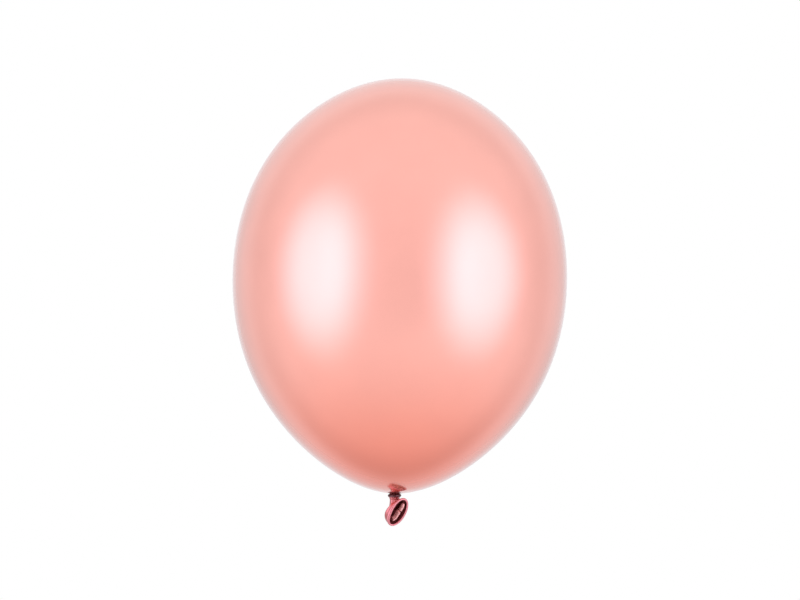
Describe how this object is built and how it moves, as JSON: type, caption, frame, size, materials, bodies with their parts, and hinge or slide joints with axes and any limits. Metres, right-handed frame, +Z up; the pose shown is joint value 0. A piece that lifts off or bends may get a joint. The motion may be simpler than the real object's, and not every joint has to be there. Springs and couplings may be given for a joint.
{
  "type": "inflated latex balloon",
  "caption": "Egg-shaped inflated party balloon in pearl latex, tied in a knot at its neck, with a short flared tail that ends in an oval rolled lip.",
  "frame": {"origin": "centre of the tied neck, between the round body and the knot, where a ribbon goes round it", "axes": "+Z up along the body, from the neck to the crown; -Y the way the open mouth of the tail faces; +X to the right seen from there"},
  "size_m": [0.2999, 0.3, 0.4012],
  "materials": {
    "body_skin": "pearl rose-gold latex, stretched thin and glossy",
    "neck_skin": "pearl latex drawn into pleats, deeper in colour because it is thicker",
    "knot_skin": "unstretched latex, tightly folded, satin",
    "tail_skin": "unstretched pearl latex, satin, soft folds",
    "lip_skin": "rolled latex bead, glossy"
  },
  "bodies": {
    "balloon": {"envelope": "body_skin", "neck_gather": "neck_skin"},
    "knot": {"knot_loop": "knot_skin", "knot_core": "knot_skin"},
    "tail": {"tail_stem": "tail_skin", "mouth_skirt": "tail_skin", "rolled_lip": "lip_skin"}
  },
  "joints": [
    {"name": "knot_twist", "type": "hinge", "parent": "balloon", "child": "knot", "pos_m": [0, 0, 0], "axis": [0, 0, 1], "range_deg": [-90, 90], "stiffness_Nm_per_rad": 0.002},
    {"name": "tail_bend", "type": "hinge", "parent": "knot", "child": "tail", "pos_m": [0, 0, -0.0076], "axis": [1, 0, 0], "range_deg": [-20, 60], "stiffness_Nm_per_rad": 0.001}
  ]
}
